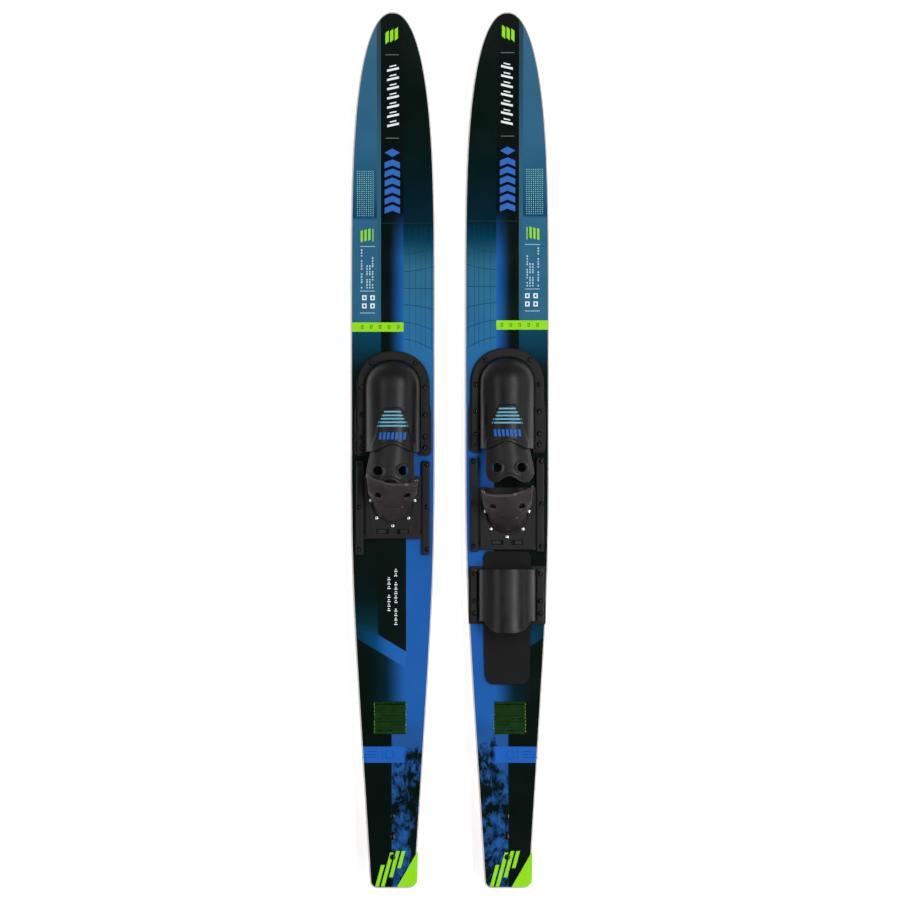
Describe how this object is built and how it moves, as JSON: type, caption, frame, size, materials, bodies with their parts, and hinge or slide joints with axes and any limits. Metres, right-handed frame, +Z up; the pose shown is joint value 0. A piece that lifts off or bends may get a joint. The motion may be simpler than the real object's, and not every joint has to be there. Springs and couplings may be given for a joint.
{
  "type": "water ski pair",
  "caption": "Pair of combination water skis with rubber toe and heel bindings on sliding heel plates, and a rear toe strap on one ski.",
  "frame": {"origin": "floor point under the middle of the pair's box, with both skis lying base down on their fins and bellies", "axes": "+Y towards the tips, +Z up, +X towards the right ski, which carries the rear toe strap"},
  "size_m": [0.3886, 1.7048, 0.1271],
  "materials": {
    "base_plastic": "moulded composite, satin, pale grey-beige edge",
    "core_board": "light core board, sealed inside the ski",
    "deck_print": "printed top sheet in black, teal, blue and lime under a clear gloss coat",
    "moulded_plastic": "glass-filled nylon, matte black",
    "frame_plastic": "fine-grained black plastic",
    "rubber": "moulded rubber with a soft sheen",
    "grey_rubber": "moulded rubber, brownish grey",
    "foam": "closed-cell foam with a pebbled face",
    "screw_steel": "blackened stainless steel",
    "bright_steel": "bright stainless steel"
  },
  "bodies": {
    "left_ski": {"left_base_shell": "base_plastic", "left_core": "core_board", "left_deck_sheet": "deck_print", "left_fin": "moulded_plastic", "left_fin_screw_front": "screw_steel", "left_fin_screw_middle": "screw_steel", "left_fin_screw_rear": "screw_steel", "left_toe_plate": "moulded_plastic", "left_toe_frame": "frame_plastic", "left_toe_overlay": "rubber", "left_instep_flap": "grey_rubber", "left_toe_screws": "screw_steel", "left_rail_outer": "frame_plastic", "left_rail_inner": "frame_plastic", "left_rail_screws_outer": "screw_steel", "left_rail_screws_inner": "screw_steel"},
    "left_heel": {"left_heel_slider": "moulded_plastic", "left_heel_clamp_plate": "frame_plastic", "left_heel_cup": "grey_rubber", "left_heel_screws": "bright_steel", "left_lock_spring": "bright_steel"},
    "left_lock_outer": {"left_lock_tab_outer": "frame_plastic"},
    "left_lock_inner": {"left_lock_tab_inner": "frame_plastic"},
    "right_ski": {"right_base_shell": "base_plastic", "right_core": "core_board", "right_deck_sheet": "deck_print", "right_fin": "moulded_plastic", "right_fin_screw_front": "screw_steel", "right_fin_screw_middle": "screw_steel", "right_fin_screw_rear": "screw_steel", "right_toe_plate": "moulded_plastic", "right_toe_frame": "frame_plastic", "right_toe_overlay": "rubber", "right_instep_flap": "grey_rubber", "right_toe_screws": "screw_steel", "right_rail_outer": "frame_plastic", "right_rail_inner": "frame_plastic", "right_rail_screws_outer": "screw_steel", "right_rail_screws_inner": "screw_steel", "right_rear_toe_plate": "moulded_plastic", "right_rear_toe_pad": "foam", "right_rear_toe_strap": "rubber", "right_rear_toe_bar_outer": "frame_plastic", "right_rear_toe_bar_inner": "frame_plastic", "right_rear_toe_screws_outer": "screw_steel", "right_rear_toe_screws_inner": "screw_steel"},
    "right_heel": {"right_heel_slider": "moulded_plastic", "right_heel_clamp_plate": "frame_plastic", "right_heel_cup": "grey_rubber", "right_heel_screws": "bright_steel", "right_lock_spring": "bright_steel"},
    "right_lock_outer": {"right_lock_tab_outer": "frame_plastic"},
    "right_lock_inner": {"right_lock_tab_inner": "frame_plastic"}
  },
  "joints": [
    {"name": "pair_spacing", "type": "slide", "parent": "left_ski", "child": "right_ski", "axis": [1, 0, 0], "range_m": [-0.05, 0.3]},
    {"name": "left_heel_slide", "type": "slide", "parent": "left_ski", "child": "left_heel", "axis": [0, 0.999, -0.0456], "range_m": [-0.03, 0.004]},
    {"name": "left_lock_outer", "type": "slide", "parent": "left_heel", "child": "left_lock_outer", "axis": [1, 0, 0], "range_m": [0, 0.0045], "stiffness_N_per_m": 400, "springref_m": -0.003, "deforming": ["left_lock_spring"]},
    {"name": "left_lock_inner", "type": "slide", "parent": "left_heel", "child": "left_lock_inner", "axis": [-1, 0, 0], "range_m": [0, 0.0045]},
    {"name": "right_heel_slide", "type": "slide", "parent": "right_ski", "child": "right_heel", "axis": [0, 0.999, -0.0456], "range_m": [-0.002, 0.032]},
    {"name": "right_lock_outer", "type": "slide", "parent": "right_heel", "child": "right_lock_outer", "axis": [-1, 0, 0], "range_m": [0, 0.0045], "stiffness_N_per_m": 400, "springref_m": -0.003, "deforming": ["right_lock_spring"]},
    {"name": "right_lock_inner", "type": "slide", "parent": "right_heel", "child": "right_lock_inner", "axis": [1, 0, 0], "range_m": [0, 0.0045]}
  ],
  "couplings": [
    {"joint": "left_lock_inner", "follows": "left_lock_outer", "ratio": 1},
    {"joint": "right_lock_inner", "follows": "right_lock_outer", "ratio": 1}
  ]
}
